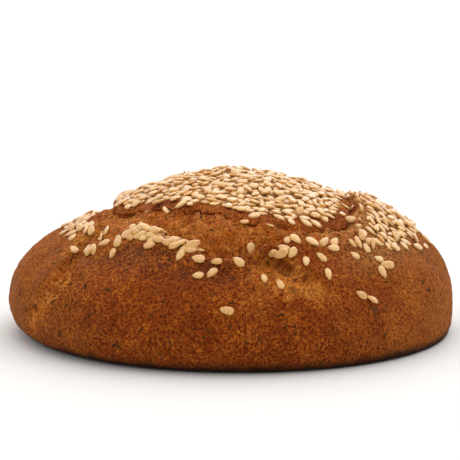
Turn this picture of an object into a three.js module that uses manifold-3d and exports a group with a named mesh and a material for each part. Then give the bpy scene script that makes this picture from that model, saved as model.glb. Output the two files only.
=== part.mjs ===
import * as THREE from "three";
import { mergeVertices } from "three/addons/utils/BufferGeometryUtils.js";
import Module from "manifold-3d";

// A round wholemeal burger bun, baked with four scores across its top. The scores have torn open in the
// oven: a seeded cap stands up in the middle, a rough torn band runs round it, and four flaps of crust lie
// outside the band with a split between each two. Hulled sesame seeds stick to the cap and to the upper
// edges of the flaps. Everything is in millimetres. +Z is up and the bun rests on z = 0, on its flat
// underside, with the origin straight below the middle of the dome. -Y is the front, where the band is
// widest.

// The dough as it would be with no scores: an ellipsoid down to the waist, then a curl to the underside.
const WAIST_RADIUS = 57.5;
const WAIST_HEIGHT = 8;
const TOP_HEIGHT = 40.9;
const UNDERSIDE_RADIUS = 53.5;
const UNDERSIDE_SHIFT = 2.8; // the underside lies this far to the right of the dome

// Radius of the cap's torn lip and of the flaps' inner edge, every 15 degrees round from +X.
const LIP_RADII = [
  31.7, 32, 34, 36, 33.5, 30.5, 29, 29, 30.5, 33.5, 34.5, 33,
  32, 32.3, 32.8, 32, 32, 33.3, 36.8, 39.2, 41.2, 39.5, 35.5, 33,
];
const EDGE_RADII = [
  34, 35, 37.5, 40.5, 38.5, 36, 35.5, 36, 38, 41.5, 42, 39.5,
  37.5, 37.4, 40, 45.6, 43, 45.5, 48.4, 44.8, 46.2, 44.5, 38.5, 35,
];
const LINE_WAVER = 0.4; // both torn lines waver by this much
const NARROWEST_BAND = 1.8;

// How far each surface lies below the dome.
const CAP_DROP = 1;
const CAP_DROP_CURVE = 0.003; // per square millimetre, away from the cap's highest line
const CAP_HIGH_X = 1;
const LIP_SWELL = 0.7; // the cap is this much prouder near its lip
const ROLL = { width: 1.4, drop: 0.5 }; // the crust rolls over the lip
const UNDERCUT = 0.4; // the torn band starts this far in under the lip
const BAND_DEPTH_AT_LIP = { back: 2.4, front: 0.9 }; // the band has risen almost level at the front
const BAND_DEPTH_AT_EDGE = 1.6;
const BAND_SWELL = 1.3; // the middle of a wide band has risen again
const WIDE_BAND = 7; // a narrower band is less deep
const EDGE_STEP = 0.7; // width in plan of the torn step up to a flap
const FLAP_CURL = { front: 0.8, back: 0.2 }; // the flaps' edges have curled up, most at the front
const FLAP_DROP = { mean: 1.75, leftward: 2.1, sideways: 0.5 }; // the flaps have sunk most on the left
const FLAP_DROP_ENDS = 0.72; // the share of a flap over which it comes back up to the dome
const RIGHT_DIP = { depth: 0.9, angle: 0.2 }; // the right flap has sunk in its middle

// The splits between flaps: points in plan from the band outwards, with half width and depth at both ends.
// The side that is steep, left (1) or right (-1) of that way, is half as wide.
const SPLITS = [
  { line: [[-35, -25], [-38.5, -31], [-43, -35], [-47, -34.5]], half: [4.6, 3], depth: [2.8, 0.8], steep: 1 },
  { line: [[8.6, -47.2], [12, -48.6], [17, -50], [25, -50]], half: [4.4, 3.2], depth: [2.6, 0.4], steep: 1 },
  { line: [[10, -48.4], [8, -52.4], [4.5, -56]], half: [3.2, 3], depth: [1.3, 0.3], steep: 0 },
  { line: [[27, 27], [33, 33], [39, 37]], half: [3.8, 2.4], depth: [2.4, 0.5], steep: 1 },
  { line: [[-29, 28], [-33, 34], [-36, 41]], half: [3.8, 2.4], depth: [2.4, 0.5], steep: -1 },
];
const PIT = { x: 12.6, y: -48.8, radius: 2.6, depth: 1.4 }; // under the corner of the right flap

// Relief: broad swells all over, and crags where the dough has torn. Each wave is [x, y, z, phase, height],
// the first three in radians per millimetre.
const SWELLS = [
  [0.21, 0.13, 0.17, 0.4, 0.22], [-0.16, 0.27, 0.11, 2.1, 0.2], [0.34, -0.22, 0.29, 4, 0.14],
  [0.09, 0.43, -0.31, 1.3, 0.1], [-0.49, -0.11, 0.24, 5.2, 0.08],
];
const CRAGS = [
  [1.13, 0.52, 0.9, 0.7, 0.2], [-0.63, 1.31, 0.7, 3.1, 0.2], [1.57, -1.05, 1.2, 5.1, 0.14],
  [0.35, 1.95, -1.1, 1.9, 0.11],
];

// The rings of vertices in each zone, from the top of the cap down to the underside.
const ZONES = [
  { name: "cap", rings: 8 },
  { name: "roll", rings: 1 },
  { name: "lip step", rings: 1 },
  { name: "band", rings: 4 },
  { name: "edge step", rings: 1 },
  { name: "flap", rings: 8 },
  { name: "underside curl", rings: 3 },
];

// Hulled sesame seeds: real size, how far they are sunk in, and how many show as separate seeds.
const SEED = { length: 3.3, width: 1.9, thickness: 0.85, sunk: 0.3 };
const SEED_TAPER = 0.45; // the stem end is narrower
const SEED_COUNT = 230;
const SEED_SPACING = 3.3; // between the middles of neighbours
const SEED_SIZE_SPREAD = 0.12;
const SEED_TILT = 0.18; // radians, either way
const CAP_BARE = { back: 1, front: 3.5 }; // no seeds on this much of the cap inside its lip
const SEED_REACH = [17, 14, 11, 11, 9, 9, 10, 8, 2.4, 0.6, 5, 14]; // out from a flap's edge, every 30 degrees
const SEED_SHARE_ON_LEFT = 0.5;
const SEED_DRAW = 4471; // starts the random draw
const SEED_SPLIT_LIMIT = 0.3; // seeds have fallen off where a split is deeper
const FALLEN_SEEDS = { share: 0.35, band: 4.2 }; // seeds have dropped into a band narrower than this
// Seeds that lie apart from the rest: where each is, in degrees round the bun and at a radius, and how many
// degrees it is turned.
const LONE_SEEDS = [
  [-104.5, 47.6, 176], [-99, 48.5, 98], [-94, 49, 102], [-88, 49, 26], [-84, 44.8, 148], [-98.5, 51.8, 106],
  [-95, 51.2, 154], [-91, 56.3, 78], [-81.5, 52, 156], [-78, 53.3, 14], [-78, 47.2, 76], [-75, 46.8, 64],
  [-76, 47.9, 104], [-73, 48.1, 144], [-73, 44.5, 128], [-70, 44.5, 40], [-70, 50, 172], [-65, 49.2, 42],
  [-65, 52.5, 174], [-60, 47.5, 80], [-54, 49.4, 40], [-57, 55.5, 60], [-54.5, 56.1, 48], [-47, 50.9, 40],
  [-46, 52.3, 56], [-48, 53.1, 176], [-23, 50.4, 56], [-133, 45.6, 114], [-139, 47.4, 22], [-72, 36.6, 62],
  [-68, 38.2, 22], [-58, 38.6, 26],
];

const TAU = 2 * Math.PI;
const mix = (a, b, t) => a + (b - a) * t;
const clamp01 = (t) => Math.min(1, Math.max(0, t));
const ease = (t) => clamp01(t) ** 2 * (3 - 2 * clamp01(t));

// A closed smooth curve through equally spaced values, read at an angle.
function roundCurve(values, angle) {
  const at = ((((angle / TAU) % 1) + 1) % 1) * values.length;
  const i = Math.floor(at);
  const f = at - i;
  const [p, a, b, n] = [-1, 0, 1, 2].map((k) => values[(i + k + values.length) % values.length]);
  return a + 0.5 * f * (b - p + f * (2 * p - 5 * a + 4 * b - n + f * (3 * (a - b) + n - p)));
}

function lipRadius(angle) {
  const waver = LINE_WAVER * (Math.sin(9 * angle + 1) + 0.7 * Math.sin(17 * angle + 2));
  return roundCurve(LIP_RADII, angle) + waver;
}

function edgeRadius(angle) {
  const waver = LINE_WAVER * (Math.sin(8 * angle + 4) + 0.6 * Math.sin(15 * angle + 1));
  return Math.max(roundCurve(EDGE_RADII, angle) + waver, lipRadius(angle) + NARROWEST_BAND);
}

const waves = (list, x, y, z) =>
  list.reduce((sum, [a, b, c, phase, height]) => sum + height * Math.sin(a * x + b * y + c * z + phase), 0);

// How deep the splits and the pit cut in at a point in plan.
function splitDepth(x, y) {
  let deepest = 0;
  for (const { line, half, depth, steep } of SPLITS) {
    for (let i = 0; i + 1 < line.length; i++) {
      const [ax, ay] = line[i];
      const [dx, dy] = [line[i + 1][0] - ax, line[i + 1][1] - ay];
      const along = clamp01(((x - ax) * dx + (y - ay) * dy) / (dx * dx + dy * dy));
      const away = Math.hypot(x - ax - along * dx, y - ay - along * dy);
      const t = (i + along) / (line.length - 1);
      const side = dx * (y - ay) - dy * (x - ax);
      const width = mix(...half, t) * (side * steep > 0 ? 0.5 : 1);
      deepest = Math.max(deepest, mix(...depth, t) * ease(1 - away / width));
    }
  }
  return deepest + PIT.depth * ease(1 - Math.hypot(x - PIT.x, y - PIT.y) / PIT.radius);
}

// The dome's angle up from the waist at a radius in plan.
const liftAt = (radius) => Math.acos(Math.min(1, radius / WAIST_RADIUS));

// The place on the dough at an angle round it, in a zone, at a share of the zone's way outwards.
function doughPoint(angle, zone, share) {
  const [c, s] = [Math.cos(angle), Math.sin(angle)];
  if (zone === "underside curl") {
    const turn = (share * Math.PI) / 2;
    return new THREE.Vector3(
      mix(UNDERSIDE_SHIFT + UNDERSIDE_RADIUS * c, WAIST_RADIUS * c, Math.cos(turn)),
      mix(UNDERSIDE_RADIUS * s, WAIST_RADIUS * s, Math.cos(turn)),
      WAIST_HEIGHT * (1 - Math.sin(turn)),
    );
  }

  const lip = lipRadius(angle);
  const edge = edgeRadius(angle);
  const deep = mix(0.45, 1, ease((edge - lip - NARROWEST_BAND) / (WIDE_BAND - NARROWEST_BAND)));
  const bandStart = lip - UNDERCUT * deep;
  const radius = {
    "cap": mix(0, lip - ROLL.width, share),
    "roll": mix(lip - ROLL.width, lip, share),
    "lip step": mix(lip, bandStart, share),
    "band": mix(bandStart, edge - EDGE_STEP, share),
    "edge step": mix(edge - EDGE_STEP, edge, share),
    "flap": WAIST_RADIUS * Math.cos(liftAt(edge) * (1 - share)),
  }[zone];
  const lift = liftAt(radius);
  const rise = TOP_HEIGHT - WAIST_HEIGHT;
  const [out, up] = [Math.cos(lift), Math.sin(lift)];
  const dome = new THREE.Vector3(radius * c, radius * s, WAIST_HEIGHT + rise * up);
  const normal = new THREE.Vector3((c * out) / WAIST_RADIUS, (s * out) / WAIST_RADIUS, up / rise).normalize();

  // The height of each surface above the dome.
  const cap = -CAP_DROP - CAP_DROP_CURVE * (dome.x - CAP_HIGH_X) ** 2;
  const dip = RIGHT_DIP.depth * ease(3 * Math.cos(angle - RIGHT_DIP.angle) - 2);
  const flap = -(FLAP_DROP.mean - FLAP_DROP.leftward * c + FLAP_DROP.sideways * Math.cos(2 * angle) + dip);
  const curl = mix(FLAP_CURL.back, FLAP_CURL.front, ease(-1.5 * s));
  const lipTop = cap + LIP_SWELL * ease((radius - lip + 7) / 5);
  const lipEdge = lipTop - ROLL.drop;
  const bandIn = cap - mix(BAND_DEPTH_AT_LIP.back, BAND_DEPTH_AT_LIP.front, ease(-1.2 * s - 0.2)) * deep;
  const bandOut = flap - BAND_DEPTH_AT_EDGE * deep;
  const height = {
    "cap": lipTop,
    "roll": lipTop - ROLL.drop * share ** 2,
    "lip step": mix(lipEdge, bandIn, share),
    "band": mix(bandIn, bandOut, ease(share)) + BAND_SWELL * deep * Math.sin(Math.PI * share),
    "edge step": mix(bandOut, flap + curl, share),
    "flap": flap * (1 - ease(share / FLAP_DROP_ENDS)) + curl * (1 - ease(share * 5)),
  }[zone];

  // How much the crust is torn here, from 0 to 1, and how deep a split cuts in.
  const split = splitDepth(dome.x, dome.y) * { "band": 0.6, "edge step": 1, "flap": 1 }[zone] || 0;
  const tornZone = { "lip step": share, "band": 1, "edge step": 1 - share }[zone] || 0;
  const torn = Math.max(tornZone, clamp01(split));
  const fade = zone === "flap" ? 1 - 0.6 * ease(share * 2 - 1) : 1;
  const relief = fade * waves(SWELLS, ...dome.toArray()) + torn * waves(CRAGS, ...dome.toArray());
  return dome.addScaledVector(normal, height - split + relief);
}

// The dough as one closed mesh: ring k has 6k vertices, so that the triangles stay alike in size.
function doughGeometry() {
  const rings = ZONES.flatMap(({ name, rings }) =>
    Array.from({ length: rings }, (_, i) => ({ zone: name, share: (i + 1) / rings })));
  const points = [doughPoint(0, "cap", 0)];
  const starts = [0];
  rings.forEach(({ zone, share }, index) => {
    const count = 6 * (index + 1);
    starts.push(points.length);
    for (let i = 0; i < count; i++) points.push(doughPoint((TAU * i) / count, zone, share));
  });
  const underside = points.push(new THREE.Vector3(UNDERSIDE_SHIFT, 0, 0)) - 1;

  const index = [];
  for (let k = 1; k <= rings.length; k++) {
    for (let sector = 0; sector < 6; sector++) {
      for (let i = 0; i < k; i++) {
        const outer = (j) => starts[k] + ((sector * k + j) % (6 * k));
        const inner = (j) => (k === 1 ? 0 : starts[k - 1] + ((sector * (k - 1) + j) % (6 * (k - 1))));
        index.push(outer(i), outer(i + 1), inner(i));
        if (i + 1 < k) index.push(outer(i + 1), inner(i + 1), inner(i));
      }
    }
  }
  const last = rings.length;
  for (let i = 0; i < 6 * last; i++) {
    index.push(starts[last] + ((i + 1) % (6 * last)), starts[last] + i, underside);
  }
  return new THREE.BufferGeometry()
    .setAttribute("position", new THREE.Float32BufferAttribute(points.flatMap((p) => p.toArray()), 3))
    .setIndex(index);
}

// A random draw that is the same each time.
function randomDraw(seed) {
  let state = seed;
  return () => {
    state = (state + 0x6d2b79f5) | 0;
    let t = Math.imul(state ^ (state >>> 15), 1 | state);
    t = (t + Math.imul(t ^ (t >>> 7), 61 | t)) ^ t;
    return ((t ^ (t >>> 14)) >>> 0) / 4294967296;
  };
}

// The zone that a seed at a radius in plan lies in, with the share of that zone.
function zoneAt(angle, radius) {
  const lip = lipRadius(angle);
  const edge = edgeRadius(angle);
  if (radius < lip - ROLL.width) return { zone: "cap", share: radius / (lip - ROLL.width) };
  if (radius < edge + 0.4) return { zone: "band", share: clamp01((radius - lip) / (edge - EDGE_STEP - lip)) };
  return { zone: "flap", share: 1 - liftAt(radius) / liftAt(edge) };
}

// How likely a seed is to have stuck at a place: surely on the cap, and on the flaps less and less outwards.
function seedShare(angle, radius, zone) {
  const [lip, edge] = [lipRadius(angle), edgeRadius(angle)];
  const bare = mix(CAP_BARE.back, CAP_BARE.front, Math.max(0, -Math.sin(angle)) ** 2);
  if (zone === "cap") return radius < lip - bare ? 1 : 0;
  if (zone === "band") return FALLEN_SEEDS.share * ease(FALLEN_SEEDS.band - (edge - lip));
  const outwards = (radius - edge) / roundCurve(SEED_REACH, angle);
  const leftness = ease(-Math.cos(angle) * 2 - 0.6);
  return outwards > 1 ? 0 : clamp01(1.5 - 1.3 * outwards) * mix(1, SEED_SHARE_ON_LEFT, leftness);
}

// Where a seed lies: its middle, the way round the bun there and the way straight out of the crust.
function seedPlace(angle, { zone, share }) {
  const small = 0.01;
  const at = doughPoint(angle, zone, share);
  const round = doughPoint(angle + small, zone, share).sub(at).normalize();
  const outward = doughPoint(angle, zone, share + small).sub(at);
  return { at, round, normal: outward.cross(round).normalize() };
}

function seedPlaces() {
  const draw = randomDraw(SEED_DRAW);
  const lie = () => ({
    turn: TAU * draw(),
    size: 1 + SEED_SIZE_SPREAD * (2 * draw() - 1),
    tilts: [SEED_TILT * (2 * draw() - 1), SEED_TILT * (2 * draw() - 1)],
  });
  const places = LONE_SEEDS.map(([degrees, radius, turned]) => {
    const [angle, turn] = [degrees, turned].map(THREE.MathUtils.degToRad);
    return { ...seedPlace(angle, zoneAt(angle, radius)), ...lie(), turn };
  });
  while (places.length < SEED_COUNT) {
    const angle = TAU * draw();
    const radius = WAIST_RADIUS * Math.sqrt(draw());
    const on = zoneAt(angle, radius);
    if (draw() > seedShare(angle, radius, on.zone)) continue;
    if (splitDepth(radius * Math.cos(angle), radius * Math.sin(angle)) > SEED_SPLIT_LIMIT) continue;
    const place = seedPlace(angle, on);
    const free = places.every((other) => other.at.distanceTo(place.at) > SEED_SPACING);
    if (free) places.push({ ...place, ...lie() });
  }
  return places;
}

function seedGeometry({ at, round, normal, turn, size, tilts }) {
  const side = new THREE.Vector3().crossVectors(normal, round);
  const standing = new THREE.Matrix4().makeBasis(round, side, normal);
  const lying = new THREE.Matrix4().makeRotationFromEuler(new THREE.Euler(...tilts, turn, "XYZ"));
  const geometry = new THREE.SphereGeometry(0.5, 6, 2).rotateX(Math.PI / 2);
  const place = geometry.getAttribute("position");
  for (let i = 0; i < place.count; i++) place.setX(i, place.getX(i) * (1 - SEED_TAPER * place.getY(i)));
  return geometry
    .scale(SEED.width * size, SEED.length * size, SEED.thickness * size)
    .applyMatrix4(lying)
    .translate(0, 0, SEED.thickness * (0.5 - SEED.sunk))
    .applyMatrix4(standing)
    .translate(...at.toArray());
}

const wasm = await Module();
wasm.setup();

function toSolid(geometry) {
  const bare = geometry.clone();
  bare.deleteAttribute("normal");
  bare.deleteAttribute("uv");
  const merged = mergeVertices(bare, 1e-5);
  return new wasm.Manifold(new wasm.Mesh({
    numProp: 3,
    vertProperties: merged.getAttribute("position").array,
    triVerts: new Uint32Array(merged.index.array),
  }));
}

function toGeometry(solid) {
  const mesh = solid.getMesh();
  return new THREE.BufferGeometry()
    .setAttribute("position", new THREE.BufferAttribute(mesh.vertProperties, 3))
    .setIndex(new THREE.BufferAttribute(mesh.triVerts, 1));
}

// The seeds are joined to the dough one after another, and a join that leaves a loose scrap drops it.
let bunSolid = toSolid(doughGeometry());
for (const place of seedPlaces()) bunSolid = bunSolid.add(toSolid(seedGeometry(place)));
bunSolid = bunSolid.decompose().reduce((a, b) => (a.volume() > b.volume() ? a : b));

const crust = new THREE.MeshStandardMaterial({ color: 0x9c5a24, roughness: 0.75, metalness: 0 });
const bun = new THREE.Mesh(toGeometry(bunSolid), crust);
bun.name = "bun";

const group = new THREE.Group();
group.add(bun);

export default group;
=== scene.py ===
"""A whole wholemeal burger bun with a scored, torn crust and sesame seeds, on a pale studio floor.

The bun is baked dough. Its crust was scored four times before baking and has torn open along the scores, so
that a seeded cap stands in a rough torn band, inside four flaps of crust. Lengths are in millimetres until
a mesh is made, and +Z is up, with -Y towards the viewer, as in the frame.
"""

import math

import bpy
import numpy as np
from bpy.props import FloatProperty, FloatVectorProperty, IntProperty, PointerProperty
from bpy.types import Operator, Panel, PropertyGroup
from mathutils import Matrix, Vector, noise
from mathutils.bvhtree import BVHTree


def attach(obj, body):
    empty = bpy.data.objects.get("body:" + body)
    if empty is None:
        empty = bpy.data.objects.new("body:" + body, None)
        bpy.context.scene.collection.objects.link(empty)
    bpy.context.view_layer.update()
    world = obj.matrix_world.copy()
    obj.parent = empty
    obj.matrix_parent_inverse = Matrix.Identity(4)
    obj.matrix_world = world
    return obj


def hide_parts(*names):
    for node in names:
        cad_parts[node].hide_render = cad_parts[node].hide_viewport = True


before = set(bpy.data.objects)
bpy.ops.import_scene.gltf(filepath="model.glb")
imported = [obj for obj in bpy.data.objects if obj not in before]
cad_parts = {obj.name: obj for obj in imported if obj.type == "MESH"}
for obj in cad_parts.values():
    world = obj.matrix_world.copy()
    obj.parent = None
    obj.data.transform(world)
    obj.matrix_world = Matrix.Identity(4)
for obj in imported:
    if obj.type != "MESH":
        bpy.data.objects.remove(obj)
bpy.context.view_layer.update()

bl_info = {
    "name": "Burger Bun",
    "version": (1, 0, 0),
    "blender": (4, 5, 0),
    "location": "3D View > Sidebar > Burger Bun",
    "description": "Makes a scored wholemeal burger bun with sesame seeds and herb flecks",
    "category": "Add Mesh",
}

MM = 0.001
TAU = 2 * math.pi
NODE = "bun"
BODY = "root"

# The dough as it would be with no scores: an ellipsoid down to the waist, then a curl to the underside.
WAIST_RADIUS = 57.5
WAIST_HEIGHT = 8.0
TOP_HEIGHT = 40.9
UNDERSIDE_RADIUS = 53.5
UNDERSIDE_SHIFT = 2.8  # the underside lies this far to the right of the dome

# Radius of the cap's torn lip and of the flaps' inner edge, every 15 degrees round from +X.
LIP_RADII = [
    31.7, 32, 34, 36, 33.5, 30.5, 29, 29, 30.5, 33.5, 34.5, 33,
    32, 32.3, 32.8, 32, 32, 33.3, 36.8, 39.2, 41.2, 39.5, 35.5, 33,
]
EDGE_RADII = [
    34, 35, 37.5, 40.5, 38.5, 36, 35.5, 36, 38, 41.5, 42, 39.5,
    37.5, 37.4, 40, 45.6, 43, 45.5, 48.4, 44.8, 46.2, 44.5, 38.5, 35,
]
LINE_WAVER = 0.4
NARROWEST_BAND = 1.8

# How far each surface lies below the dome.
CAP_DROP = 1.0
CAP_DROP_CURVE = 0.003  # per square millimetre, away from the cap's highest line
CAP_HIGH_X = 1.0
LIP_SWELL = 0.7
ROLL_WIDTH = 1.4  # the crust rolls over the lip
ROLL_DROP = 0.5
UNDERCUT = 0.4  # the torn band starts this far in under the lip
BAND_DEPTH_AT_LIP_BACK = 2.4
BAND_DEPTH_AT_LIP_FRONT = 0.9  # the band has risen almost level at the front
BAND_DEPTH_AT_EDGE = 1.6
BAND_SWELL = 1.3
WIDE_BAND = 7.0
EDGE_STEP = 0.7
FLAP_CURL_FRONT = 0.8
FLAP_CURL_BACK = 0.2
FLAP_DROP_MEAN = 1.75
FLAP_DROP_LEFTWARD = 2.1
FLAP_DROP_SIDEWAYS = 0.5
FLAP_DROP_ENDS = 0.72
RIGHT_DIP_DEPTH = 0.9
RIGHT_DIP_ANGLE = 0.2

# The splits between flaps: points in plan from the band outwards, half width and depth at both ends, and the
# side that is steep, left (1) or right (-1) of that way.
SPLITS = [
    ([(-35, -25), (-38.5, -31), (-43, -35), (-47, -34.5)], (4.6, 3), (2.8, 0.8), 1),
    ([(8.6, -47.2), (12, -48.6), (17, -50), (25, -50)], (4.4, 3.2), (2.6, 0.4), 1),
    ([(10, -48.4), (8, -52.4), (4.5, -56)], (3.2, 3), (1.3, 0.3), 0),
    ([(27, 27), (33, 33), (39, 37)], (3.8, 2.4), (2.4, 0.5), 1),
    ([(-29, 28), (-33, 34), (-36, 41)], (3.8, 2.4), (2.4, 0.5), -1),
]
PIT = (12.6, -48.8)  # under the corner of the right flap
PIT_RADIUS = 2.6
PIT_DEPTH = 1.4

# Relief: broad swells all over, and crags where the dough has torn. Each wave is (x, y, z, phase, height).
SWELLS = [
    (0.21, 0.13, 0.17, 0.4, 0.22), (-0.16, 0.27, 0.11, 2.1, 0.2), (0.34, -0.22, 0.29, 4, 0.14),
    (0.09, 0.43, -0.31, 1.3, 0.1), (-0.49, -0.11, 0.24, 5.2, 0.08),
]
CRAGS = [
    (1.13, 0.52, 0.9, 0.7, 0.2), (-0.63, 1.31, 0.7, 3.1, 0.2), (1.57, -1.05, 1.2, 5.1, 0.14),
    (0.35, 1.95, -1.1, 1.9, 0.11),
]

# The rings of the dough's mesh in each zone, from the top of the cap down to the underside.
ZONE_RINGS = {
    "cap": 44, "roll": 9, "lip step": 9, "band": 34, "edge step": 7, "flap": 60, "underside curl": 12,
}

# The solid's own seeds: a rule with a seeded draw, and the seeds that lie apart.
SEED_SUNK = 0.3
FIRST_SEEDS = 230
FIRST_SPACING = 3.3
SEED_SIZE_SPREAD = 0.12
SEED_TILT = 0.18
CAP_BARE_BACK = 1.0
CAP_BARE_FRONT = 3.5
SEED_REACH = [17, 14, 11, 11, 9, 9, 10, 8, 2.4, 0.6, 5, 14]
SEED_SHARE_ON_LEFT = 0.5
SEED_SPLIT_LIMIT = 0.3
SEED_DRAW = 4471
FALLEN_SHARE = 0.35  # seeds have dropped into a band narrower than this
FALLEN_BAND = 4.2
# Seeds that lie apart: degrees round the bun, radius, and how many degrees each is turned.
LONE_SEEDS = [
    (-104.5, 47.6, 176), (-99, 48.5, 98), (-94, 49, 102), (-88, 49, 26), (-84, 44.8, 148), (-98.5, 51.8, 106),
    (-95, 51.2, 154), (-91, 56.3, 78), (-81.5, 52, 156), (-78, 53.3, 14), (-78, 47.2, 76), (-75, 46.8, 64),
    (-76, 47.9, 104), (-73, 48.1, 144), (-73, 44.5, 128), (-70, 44.5, 40), (-70, 50, 172), (-65, 49.2, 42),
    (-65, 52.5, 174), (-60, 47.5, 80), (-54, 49.4, 40), (-57, 55.5, 60), (-54.5, 56.1, 48), (-47, 50.9, 40),
    (-46, 52.3, 56), (-48, 53.1, 176), (-23, 50.4, 56), (-133, 45.6, 114), (-139, 47.4, 22), (-72, 36.6, 62),
    (-68, 38.2, 22), (-58, 38.6, 26),
]

# Heaps of seeds that have rolled together along a flap's crest: degrees from and to, and how many layers.
HEAPS = [(-129.5, -110.5, 3), (-110, -99.5, 2), (-75, -68.5, 1), (-67, -57, 1)]
HEAP_SPACING = 2.7  # from seed to seed in a row
HEAP_LAYER = 1.0
HEAP_FOOT = 0.4  # the lowest layer's height above the crest
HEAP_LEAN = 0.75  # each layer starts this much further in than the one under it
HEAP_ROW = 1.7  # from one row to the next in a layer
HEAP_TAPER = 0.07  # each layer is this share shorter at both ends than the one under it
HEAP_FACING = (1.0, -0.1, -0.5)  # how far outwards the seeds of each row face
# More seeds on the left flap and by the cap's front lip: degrees from and to, how far out from the lip, from
# and to, how many are thrown, and their spacing.
PATCHES = [
    (-186, -152, 6.5, 13.5, 60, 2.3), (-152, -143, 7, 11, 12, 1.6), (-140, -42, -3.4, -0.8, 60, 2.3),
]
CAP_BARE_LEFT = 1.2
CAP_BARE_TURN = (-155, 30)  # the bare edge starts to widen at this angle, over so many degrees
LIP_GAPS = 1.5  # in places the seeds stop this much short of their usual edge
SWEPT_FLAP = (-134, -60)  # no other seeds stayed on this flap
SWEPT_NOTCH = (-36, 2)  # nor in the narrow band here
DENSE_TO = ((-60, -50, 0), (46, 47.5, 55.5))  # degrees and radius of the front end of the right flap's seeds
CLUSTERING = 4  # the later seeds' share on a flap is the solid's share to this power
# How high a seed's middle may lie above the crust: by the cap's lip, in the cap's middle and on the flaps.
PILE_AT_LIP = 0.65
PILE_ON_CAP = 0.9
PILE_ON_FLAP = 0.85
PILE_SLOPE = 9.0  # the seeds lie full deep this far in from the lip
SEED_JUMBLE = (0.14, 0.2)  # how steeply seeds on other seeds tip, endways and sideways
SEED_LEVELS = ((0.25, 0.4), (0.6, 0.25), (1.0, 0.35))  # share of the full height, and of the seeds thrown

# Relief finer than the solid's. Each noise is its height, the size of its lumps, its octaves and its offset.
RAGGED_NOISE = [(1.0, 5.0, 3, 0.0), (0.5, 1.6, 2, 0.0)]
CRUST_NOISE = [(0.16, 5.0, 3, 0.0), (0.1, 1.1, 2, 0.0)]
CRAG_NOISE = [(0.3, 3.4, 3, 7.0), (0.3, 1.3, 3, 3.0)]
STRAND_HEIGHT = 0.25
STRAND_WIDTH = 1.5
STRAND_STRETCH = (1, 0.25, 0.25)  # strands of gluten run outwards across the band
PORE_DEPTH = 0.35
PORES = (2.4, 0.36, 3.0)  # from pore to pore, the share of that which a pore reaches, and the offset
HONEYCOMB = (1.9, 0.5, 8.0)
HONEYCOMB_DEPTH = 1.2
RISEN_TO_LIP = 0.9  # here and there the risen dough stands this much higher, level with the lip
SETTLED = 2.5  # the relief fades out over this much height above the underside
WANDER_NOISE = [(0.6, 1.5, 2, 5.0)]  # how the tears' sides wander
RISEN_NOISE = [(1.4, 7.0, 2, 9.0)]
RISEN_USUALLY = 0.75
LOOP_RADIUS = 35  # the raggedness is noise round a circle of this radius
BAND_RADIUS = 38  # that of the torn band's middle, so that its strands keep their size when it is unrolled

# Where the crust has split and shows its crumb: points along each tear, and its half width and depth. A tear
# with no depth is crumb that has risen level with the crust.
TEARS = [
    (
        [
            (-33.0, -24.5, 26.0), (-35.5, -24.2, 24.4), (-37.9, -28.5, 21.2), (-39.4, -35.4, 19.2),
            (-42.2, -37.3, 15.6),
        ],
        3.0,
        1.5,
    ),
    ([(-42.2, -37.3, 15.6), (-46.3, -33.0, 10.5), (-48.5, -31.5, 6.0)], 3.0, 0.4),
    ([(6.4, -46.4, 23.9), (10.4, -45.9, 23.5), (14.0, -47.4, 23.4), (17.5, -49.2, 21.2)], 2.2, 0.7),
    ([(6.4, -50.1, 21.8), (13.3, -52.2, 19.1), (20.2, -50.4, 18.4)], 3.2, 0.2),
    ([(-31.6, -14.1, 29.1), (-33.5, -20.1, 28.4), (-36.0, -21.4, 26.1), (-37.9, -25.1, 23.7)], 4.2, 0.0),
    ([(30.6, -4.0, 32.4), (30.6, -9.5, 32.0), (31.5, -16.0, 31.0), (34.5, -22.0, 29.0)], 3.4, 0.0),
]

# Clefts and holes under the torn crust: where each starts and ends on the surface, half its width, and depth.
CLEFTS = [
    ((-7.6, -31.9, 33.6), (-9.8, -32.6, 33.0), 1.1, 1.5),
    ((10.6, -46.0, 23.5), (13.2, -46.8, 22.6), 1.1, 0.5),
    ((30.8, -6.5, 32.2), (30.4, -12.5, 31.8), 2.2, 0.6),
    ((-30.5, -8.0, 32.2), (-29.6, -13.5, 32.0), 1.2, 1.2),
    ((-12.8, -47.2, 25.0), (-11.2, -47.8, 24.6), 0.8, 0.6),
    ((20.6, -53.0, 9.0), (23.6, -52.4, 8.2), 0.6, 0.5),
]

TOASTED_AND_SHADED_AT = -113  # degrees: the front flap's proud edge is darkest here, partly browned, partly painted shade below the heaped seeds
TOASTED_AND_SHADED_WIDTH = 24
# Paler crust among the seeds on the flaps: partly crust kept pale, partly painted light, mostly a painted
# sheen on the right.
SHELTERED_AND_LIT_LEFT = 0.05  # how much paler the crust is among the seeds, on the left and on the right
SHELTERED_AND_LIT_RIGHT = 0.32

# The flecks of herb: their lengths as shares of the usual one, with how common each is.
HERB_LENGTHS = ((0.4, 0.65, 1.0, 1.4), (0.35, 0.33, 0.22, 0.1))
HERB_WIDTH = (0.32, 0.62)
HERB_WIDEST = 0.6  # as a share of the length
HERB_THICKNESS = 0.16
HERB_CURL = 0.35
HERB_LOWEST = 1.5  # none shows below this height, or on crust that faces down more than the next says
HERB_FACING = -0.6
HERB_DRAW = 97

# The studio, in metres.
FLOOR_HALF = 3.0
FLOOR_DROP = 0.0002  # the floor lies this far under the bun, so that the two never flicker
FAR_WALL_LIGHT = 1.15
WALL_TURN = (-0.9, 0.2)  # how far round, from in front to behind, the walls change from one to the other
SOFTBOX_ANGLE = math.radians(80)
SOFTBOX_AIM = (-0.18, -0.4, -0.9)
SENSOR_MM = 36.0
LENS_MM = 114.0
AIM = (-0.00026, 0, 0.0251)  # the bun stands one pixel right of the photograph's middle


def mix(a, b, t):
    return a + (b - a) * t


def clamp01(t):
    return np.clip(t, 0.0, 1.0)


def ease(t):
    t = clamp01(t)
    return t * t * (3 - 2 * t)


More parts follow.
